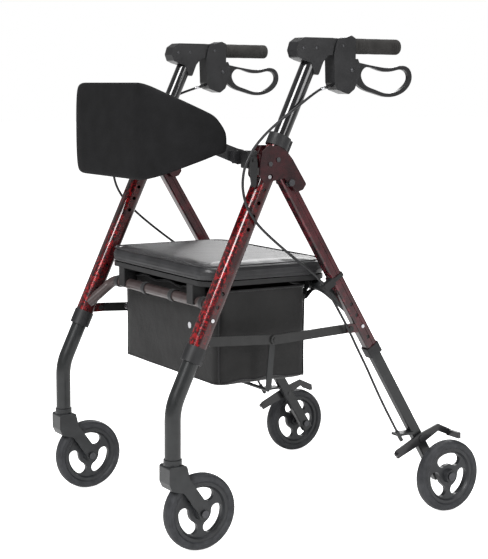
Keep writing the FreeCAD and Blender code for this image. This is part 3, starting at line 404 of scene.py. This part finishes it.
def tube_along(name, points, radius, finish, body, closed=False, sides=8):
    """Piping or cord along a line of points."""
    vectors = [Vector(point) for point in points]
    rings = []
    last_side = None
    count = len(vectors)
    for index, here in enumerate(vectors):
        before = vectors[index - 1] if index > 0 or closed else here
        after = vectors[(index + 1) % count] if index < count - 1 or closed else here
        along = (after - before).normalized()
        if last_side is None:
            guide = Vector((0, 0, 1)) if abs(along.z) < 0.9 else Vector((1, 0, 0))
            last_side = along.cross(guide).normalized()
        side = (last_side - along * last_side.dot(along)).normalized()
        last_side = side
        over = along.cross(side)
        rings.append([here + (side * math.cos(turn) + over * math.sin(turn)) * radius
                      for turn in (2 * math.pi * step / sides for step in range(sides))])
    if closed:
        rings.append(rings[0])
    vertices, faces = loft(rings, capped=not closed)
    return tidy_normals(piece(name, vertices, faces, finish, body))


def puffed(thing, voxel, pressure, cap, held_below):
    """Fills a closed shape like a cushion: an even mesh, air pressure, then a limit on how
    far any point has moved. Points below held_below stay."""
    remesh = thing.modifiers.new("even", "REMESH")
    remesh.mode = "VOXEL"
    remesh.voxel_size = voxel
    graph = bpy.context.evaluated_depsgraph_get()
    even = bpy.data.meshes.new_from_object(thing.evaluated_get(graph))
    thing.modifiers.clear()
    thing.data = even
    rest = [vertex.co.copy() for vertex in even.vertices]
    held = thing.vertex_groups.new(name="held")
    held.add([vertex.index for vertex in even.vertices if vertex.co.z < held_below], 1.0, "ADD")
    cloth = thing.modifiers.new("air", "CLOTH")
    cloth.settings.use_pressure = True
    cloth.settings.uniform_pressure_force = pressure
    cloth.settings.effector_weights.gravity = 0
    cloth.settings.vertex_group_mass = "held"
    cloth.point_cache.frame_start = 1
    cloth.point_cache.frame_end = 20
    for number in range(1, 21):
        bpy.context.scene.frame_set(number)
    graph = bpy.context.evaluated_depsgraph_get()
    blown = bpy.data.meshes.new_from_object(thing.evaluated_get(graph))
    thing.modifiers.clear()
    thing.vertex_groups.clear()
    thing.data = blown
    for vertex, start in zip(blown.vertices, rest):
        move = vertex.co - start
        if move.length > cap:
            vertex.co = start + move.normalized() * cap
    bpy.context.scene.frame_set(1)
    return thing


# ---------------------------------------------------------------- seat cushion

SEAT_LOW = 0.5142
SEAT_TOP = 0.546
RIB_COUNT = 4

seat_rings = []
for z, inset in ((SEAT_LOW, 0.010), (SEAT_LOW + 0.004, 0.004), (0.530, 0.003),
                 (0.5395, 0.006), (0.5425, 0.014), (0.5435, 0.030)):
    outline = rounded_outline(0.225 - inset, -0.262 + inset, 0.045 - inset, 0.045)
    seat_rings.append([(x, y, z) for x, y in outline])
points, faces = loft(seat_rings)
seat = piece("seat_cushion", points, faces, seat_vinyl, "seat")
seat = puffed(tidy_normals(seat), 0.005, 4.0, 0.0035, SEAT_LOW + 0.002)


def edge_distance(x, y):
    """How far a point of the seat lies inside its outline."""
    across = 0.225 - abs(x)
    along = min(y + 0.262, 0.045 - y)
    reach = 0.045
    if across < reach and along < reach:
        return reach - math.hypot(reach - across, reach - along)
    return min(across, along)


fine = baked(subdivide(seat)).data
for vertex in fine.vertices:
    x, y, z = vertex.co
    inside = edge_distance(x, y)
    if inside < 0.013 and z < 0.5405:
        phase = (z - SEAT_LOW) / (SEAT_TOP - 0.003 - SEAT_LOW) * RIB_COUNT
        groove = abs(math.sin(math.pi * phase)) ** 0.5
        pull = 0.0032 * (1 - groove) * (1 - inside / 0.013)
        towards = Vector((-x, -0.1085 - y, 0)).normalized()
        vertex.co += towards * pull
    elif inside > 0.015 and z > 0.53:
        crown = min(1.0, (inside - 0.015) / 0.09)
        vertex.co.z = min(vertex.co.z + 0.0025 * crown, SEAT_TOP + 0.0022)
fine.polygons.foreach_set("use_smooth", [True] * len(fine.polygons))
if not fine.materials:
    fine.materials.append(seat_vinyl)
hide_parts("seat_pad")

seam = [(x, y, 0.5437) for x, y in rounded_outline(0.214, -0.251, 0.034, 0.036)]
tube_along("seat_piping", seam, 0.0016, seat_vinyl, "seat", closed=True)


# ---------------------------------------------------------------- backrest pad

PAD_TOP = [(-0.364, 0.909), (-0.332, 0.882), (-0.292, 0.860), (-0.234, 0.832), (-0.214, 0.793)]
PAD_LOW = [(-0.364, 0.703), (-0.332, 0.722), (-0.292, 0.741), (-0.234, 0.763), (-0.214, 0.766)]
PAD_HALF = 0.224
PAD_MIDDLE_Y = -0.352
PAD_TURN = 0.108
PAD_DEPTH = 0.020


def along_profile(profile, y):
    for (y0, z0), (y1, z1) in zip(profile, profile[1:]):
        if y <= y1:
            share = max(0.0, (y - y0) / (y1 - y0))
            return z0 + (z1 - z0) * share
    return profile[-1][1]


def pad_station(distance):
    """A point and outward direction on the pad's centre line, walked from the middle."""
    sign = 1 if distance >= 0 else -1
    run = abs(distance)
    flat = PAD_HALF - PAD_TURN
    arc = PAD_TURN * math.pi / 2
    if run <= flat:
        return Vector((sign * run, PAD_MIDDLE_Y)), Vector((0, -1))
    if run <= flat + arc:
        angle = (run - flat) / PAD_TURN
        direction = Vector((sign * math.sin(angle), -math.cos(angle)))
        return Vector((sign * flat, PAD_MIDDLE_Y + PAD_TURN)) + direction * PAD_TURN, direction
    return (Vector((sign * PAD_HALF, PAD_MIDDLE_Y + PAD_TURN + run - flat - arc)),
            Vector((sign, 0)))


pad_reach = PAD_HALF - PAD_TURN + PAD_TURN * math.pi / 2 + (-0.2155 - PAD_MIDDLE_Y - PAD_TURN)
SOFTENING = (-0.012, -0.004, 0.004, 0.012)
SECTION = 28
STATIONS = 96
pad_rings = []
for index in range(STATIONS + 1):
    distance = pad_reach * (2 * index / STATIONS - 1)
    place, outward = pad_station(distance)
    top = sum(along_profile(PAD_TOP, place.y + shift) for shift in SOFTENING) / len(SOFTENING)
    low = sum(along_profile(PAD_LOW, place.y + shift) for shift in SOFTENING) / len(SOFTENING)
    to_end = pad_reach - abs(distance)
    thick = PAD_DEPTH / 2
    if to_end < 0.012:
        rounding = math.sqrt(max(0.0, 1 - (1 - to_end / 0.012) ** 2))
        thick *= 0.25 + 0.75 * rounding
        middle_z = (top + low) / 2
        top = middle_z + (top - middle_z) * (0.75 + 0.25 * rounding)
        low = middle_z + (low - middle_z) * (0.75 + 0.25 * rounding)
    ring = []
    for step in range(SECTION):
        turn = 2 * math.pi * step / SECTION
        side = math.copysign(abs(math.cos(turn)) ** 0.45, math.cos(turn))
        rise = math.copysign(abs(math.sin(turn)) ** 0.75, math.sin(turn))
        height = (top - low) / 2
        flat_place = place + outward * (side * thick)
        ring.append((flat_place.x, flat_place.y, (top + low) / 2 + rise * height))
    pad_rings.append(ring)
points, faces = loft(pad_rings)
pad = tidy_normals(piece("backrest_cushion", points, faces, foam, "backrest"))
subdivide(pad)
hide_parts("backrest_pad")


# ---------------------------------------------------------------- bag

BAG_HALF = 0.203
BAG_FRONT = -0.2212
BAG_REAR = -0.010
BAG_TOP = 0.4915
BAG_FLOOR = 0.3025
BAG_HEM = 0.009
BAG_HEM_TOP = 0.340


def bag_ring(z, swell, corner=0.022, lift=0.0):
    """One level of the bag: its sides hollow or belly between the corners."""
    ring = []
    for x, y in rounded_outline(BAG_HALF, BAG_FRONT, BAG_REAR, corner, 6, 20):
        middle_y = (BAG_FRONT + BAG_REAR) / 2
        across = x / BAG_HALF
        along = (y - middle_y) / (BAG_REAR - middle_y)
        push_x = swell * (1 - along * along) * (abs(across) > 0.97)
        push_y = swell * (1 - across * across) * (abs(along) > 0.97)
        crease = 0.0005 * math.sin(41 * x + 67 * z) * math.sin(53 * y + 37 * z + 1.3)
        hem = BAG_HEM * min(1.0, max(0.0, (BAG_HEM_TOP - z) / 0.03)) * (1 - along * along)
        rise = hem * (0.75 + 0.25 * math.sin(9 * along)) * (abs(across) > 0.97)
        drop = lift * (math.cos(4 * math.pi * across) - 1) / 2 * (abs(along) > 0.97)
        ring.append((x + math.copysign(push_x, x) + crease,
                     y + math.copysign(push_y, y - middle_y) + crease, z + drop + rise))
    return ring


bag_levels = [(BAG_TOP, -0.001, 0.006), (0.488, -0.0012, 0.005), (0.472, -0.0015, 0.003),
              (0.445, -0.002, 0.0), (0.41, -0.002, 0.0), (0.38, -0.0015, 0.0),
              (0.35, 0.0, 0.0), (0.325, 0.0008, 0.0), (0.312, 0.0008, 0.0),
              (0.306, -0.001, 0.0)]
bag_rings = [bag_ring(z, swell, lift=lift) for z, swell, lift in bag_levels]
for inset, z in ((0.006, BAG_FLOOR), (0.03, BAG_FLOOR - 0.001), (0.07, BAG_FLOOR - 0.0015)):
    bag_rings.append([(x * (1 - inset / BAG_HALF), -0.115 + (y + 0.115) * (1 - inset / 0.105), z)
                      for x, y, _ in bag_ring(z, 0.0)])
points, faces = loft(bag_rings, capped=False)
count = len(bag_rings[0])
faces.append(tuple(range(len(points) - count, len(points))))
bag = tidy_normals(piece("bag_shell", points, faces, nylon, "front_frame"))
thicken = bag.modifiers.new("cloth", "SOLIDIFY")
thicken.thickness = 0.0022
thicken.offset = -1
subdivide(bag)
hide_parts("bag")
bag_parts = [bag]
rim = bag_ring(BAG_TOP, -0.001, lift=0.006)
bag_parts.append(tube_along("bag_rim_piping", rim, 0.0022, webbing, "front_frame",
                            closed=True))
base = bag_ring(0.307, 0.0, lift=0.0)
bag_parts.append(tube_along("bag_base_piping", base, 0.0018, webbing, "front_frame",
                            closed=True))
for side in (1, -1):
    for y in (BAG_FRONT + 0.006, BAG_REAR - 0.006):
        edge = [(side * (BAG_HALF - 0.005 + 0.001 * math.sin(30 * z)), y, z)
                for z in (0.308 + 0.0165 * step for step in range(11))]
        tag = "%s_%s" % ("left" if side > 0 else "right", "front" if y < -0.1 else "rear")
        bag_parts.append(tube_along("bag_edge_piping_" + tag, edge, 0.0016, webbing,
                                    "front_frame"))
for thing in bag_parts:
    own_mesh(baked(thing))


# ---------------------------------------------------------------- bag straps

def strap(name, body, x, width, tube_y, tube_z, wall_y, low_z):
    """Webbing up from the bag's wall, round a cross tube and back to the wall."""
    towards = 1 if wall_y > tube_y else -1
    line = [(wall_y, low_z), (wall_y, (low_z + tube_z - 0.004) / 2)]
    for step in range(17):
        turn = math.radians(-8 + 300 * step / 16)
        line.append((tube_y + towards * 0.0125 * math.cos(turn), tube_z + 0.0125 * math.sin(turn)))
    line.append((wall_y - towards * 0.0022, low_z + 0.002))
    rings = []
    for index, (y, z) in enumerate(line):
        before = line[max(0, index - 1)]
        after = line[min(len(line) - 1, index + 1)]
        along = Vector((after[0] - before[0], after[1] - before[1])).normalized()
        thick = Vector((-along.y, along.x)) * 0.0006
        rings.append([(x + across * width / 2, y + thick.x * over, z + thick.y * over)
                      for across, over in ((-1, -1), (-0.85, -1.3), (0.85, -1.3), (1, -1),
                                           (1, 1), (0.85, 1.3), (-0.85, 1.3), (-1, 1))])
    points, faces = loft(rings)
    thing = tidy_normals(piece(name, points, faces, webbing, body))
    return subdivide(thing)


STRAP_PLACES = (-0.185, -0.06, 0.06, 0.185)
for index, x in enumerate(STRAP_PLACES):
    strap("bag_strap_front_%d" % index, "front_frame", x, 0.016,
                        -0.240, 0.469, -0.2216, 0.457)
    strap("bag_strap_rear_%d" % index, "rear_frame", x, 0.016,
                        0.014, 0.4906, -0.0092, 0.457)
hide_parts("bag_straps")


# ---------------------------------------------------------------- turned trim

def turned(name, profile, place, axis, finish, body, sides=40):
    """A piece turned about an axis through place, from (distance along, radius) points."""
    axis = Vector(axis).normalized()
    guide = Vector((0, 0, 1)) if abs(axis.z) < 0.9 else Vector((1, 0, 0))
    side = axis.cross(guide).normalized()
    over = axis.cross(side)
    rings = [[Vector(place) + axis * along
              + (side * math.cos(turn) + over * math.sin(turn)) * radius
              for turn in (2 * math.pi * step / sides for step in range(sides))]
             for along, radius in profile]
    points, faces = loft(rings)
    return tidy_normals(piece(name, points, faces, finish, body))


GRIP_RADIUS = 0.0155
grip_profile = [(0.0567, 0.0105), (0.0567, 0.0172), (0.0572, 0.0182), (0.0592, 0.0186),
                (0.0606, 0.0178), (0.0614, 0.0158), (0.063, GRIP_RADIUS)]
for step in range(5):
    start = 0.068 + 0.0045 * step
    grip_profile += [(start, GRIP_RADIUS), (start + 0.0008, GRIP_RADIUS - 0.0007),
                     (start + 0.0022, GRIP_RADIUS - 0.0007), (start + 0.003, GRIP_RADIUS)]
grip_profile += [(0.095, 0.0152), (0.115, 0.0155), (0.132, 0.0153), (0.145, 0.0155)]
for step in range(4):
    start = 0.148 + 0.0045 * step
    grip_profile += [(start, GRIP_RADIUS), (start + 0.0008, GRIP_RADIUS - 0.0009),
                     (start + 0.0022, GRIP_RADIUS - 0.0009), (start + 0.003, GRIP_RADIUS)]
grip_profile += [(0.1675, 0.0154), (0.1700, 0.0142), (0.1714, 0.0120), (0.1718, 0.0080),
                 (0.1712, 0.0050), (0.1700, 0.0035), (0.1698, 0.0005)]


def dome(name, place, outward, radius, height, finish, body):
    """A low round head that stands out along X."""
    profile = [(-0.0004, radius), (height * 0.35, radius), (height * 0.7, radius * 0.86),
               (height * 0.95, radius * 0.5), (height, radius * 0.12)]
    return turned(name, profile, place, (outward, 0, 0), finish, body, 24)


HEAD_SCREWS = ((-0.068, 0.966), (-0.038, 0.967))
HEAD_FACE = 0.0171
HOUSING_FACE = 0.01655
CABLE_START = (-0.0025, 0.8908)
CABLE_HEADING = (0.0005, -0.0155, -0.0042)
FERRULE_PROFILE = [(0.003, 0.0029), (0.004, 0.0037), (0.010, 0.0037), (0.0112, 0.0031),
                   (0.0145, 0.0029)]

for name, side in SIDES.items():
    leg_x = side * LEG_X
    handle = "handle_" + name
    grip = turned("grip_skin_" + name, grip_profile, (leg_x, 0, 0.972), (0, 1, 0), grip_rubber,
                  handle)
    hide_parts("grip_" + name)
    for number, (y, z) in enumerate(HEAD_SCREWS):
        for face in (1, -1):
            tag = "outer" if face == side else "inner"
            dome("head_screw_%s_%s_%d" % (name, tag, number), (leg_x + face * HEAD_FACE, y, z),
                 face, 0.003, 0.0012, dark_steel, handle)
    for face in (1, -1):
        tag = "outer" if face == side else "inner"
        dome("housing_rivet_%s_%s" % (name, tag), (leg_x + face * HOUSING_FACE, 0.026, 0.972), face,
             0.003, 0.0012, dark_steel, handle)
        dome("lever_pin_%s_%s" % (name, tag), (leg_x + face * HOUSING_FACE, 0.048, 0.925), face,
             0.0045, 0.0016, dark_steel, handle)
    start_y, start_z = CABLE_START
    heading = (side * CABLE_HEADING[0], CABLE_HEADING[1], CABLE_HEADING[2])
    turned("cable_ferrule_" + name, FERRULE_PROFILE, (leg_x, start_y, start_z), heading,
           bolt_steel, "front_frame", 24)




# ---------------------------------------------------------------- floor, light and camera

def area_light(name, place, target, size, power):
    data = bpy.data.lights.new(name, "AREA")
    data.size = size
    data.energy = power
    lamp = bpy.data.objects.new(name, data)
    bpy.context.scene.collection.objects.link(lamp)
    lamp.location = place
    lamp.rotation_euler = (Vector(target) - Vector(place)).to_track_quat("-Z", "Y").to_euler()


floor_mesh = bpy.data.meshes.new("floor")
floor_mesh.from_pydata([(-30, -30, 0), (30, -30, 0), (30, 30, 0), (-30, 30, 0)], [], [(0, 1, 2, 3)])
floor = bpy.data.objects.new("floor", floor_mesh)
bpy.context.scene.collection.objects.link(floor)
floor_paint = Paint("pale_floor", (0.93, 0.93, 0.93), 0.9)
floor_paint.mottled(3.0, (0.92, 0.92, 0.92), (0.94, 0.94, 0.94))
floor_paint.shader.inputs["Emission Color"].default_value = (1.0, 1.0, 1.0, 1)
seen = floor_paint.add("ShaderNodeLightPath")
glow = floor_paint.add("ShaderNodeMapRange")
glow.inputs["To Min"].default_value = 0.12
glow.inputs["To Max"].default_value = 0.9
floor_paint.link(seen.outputs["Is Camera Ray"], glow.inputs["Value"])
floor_paint.link(glow.outputs["Result"], floor_paint.shader.inputs["Emission Strength"])
floor_mesh.materials.append(floor_paint.material)

middle = (0.0, 0.0, 0.5)
area_light("key", (1.4, -2.8, 2.8), middle, 1.4, 130)
area_light("side", (3.6, 0.9, 1.8), middle, 1.6, 45)
area_light("top", (0.0, 0.2, 3.4), middle, 2.6, 70)
area_light("back", (-2.6, 2.4, 2.2), middle, 2.0, 60)
world = bpy.data.worlds.new("studio")
world.use_nodes = True
sky = world.node_tree
sky_out = sky.nodes["World Output"]
lighting = sky.nodes["Background"]
lighting.inputs["Color"].default_value = (1.0, 1.0, 1.0, 1)
lighting.inputs["Strength"].default_value = 0.3
backdrop = sky.nodes.new("ShaderNodeBackground")
backdrop.inputs["Strength"].default_value = 1.0
ray = sky.nodes.new("ShaderNodeLightPath")
choose = sky.nodes.new("ShaderNodeMixShader")
sky.links.new(ray.outputs["Is Camera Ray"], choose.inputs["Fac"])
sky.links.new(lighting.outputs["Background"], choose.inputs[1])
sky.links.new(backdrop.outputs["Background"], choose.inputs[2])
sky.links.new(choose.outputs["Shader"], sky_out.inputs["Surface"])
backdrop.inputs["Color"].default_value = (1.0, 1.0, 1.0, 1)
bpy.context.scene.world = world
bpy.context.scene.view_settings.view_transform = "Standard"

azimuth = math.radians(58.64)
elevation = math.radians(6.62)
back = Vector((math.sin(azimuth) * math.cos(elevation), -math.cos(azimuth) * math.cos(elevation),
               math.sin(elevation)))
right = Vector((math.cos(azimuth), math.sin(azimuth), 0))
up = back.cross(right)
facing = Matrix((right, up, back)).transposed() @ Matrix.Rotation(math.radians(0.26), 3, "Z")
camera_data = bpy.data.cameras.new("camera")
camera_data.lens = 91.06
camera_data.shift_x = 0.005
camera_data.shift_y = -0.0513
camera = bpy.data.objects.new("camera", camera_data)
bpy.context.scene.collection.objects.link(camera)
camera.matrix_world = Matrix.Translation((2.5608, -1.6051, 0.8912)) @ facing.to_4x4()
bpy.context.scene.camera = camera
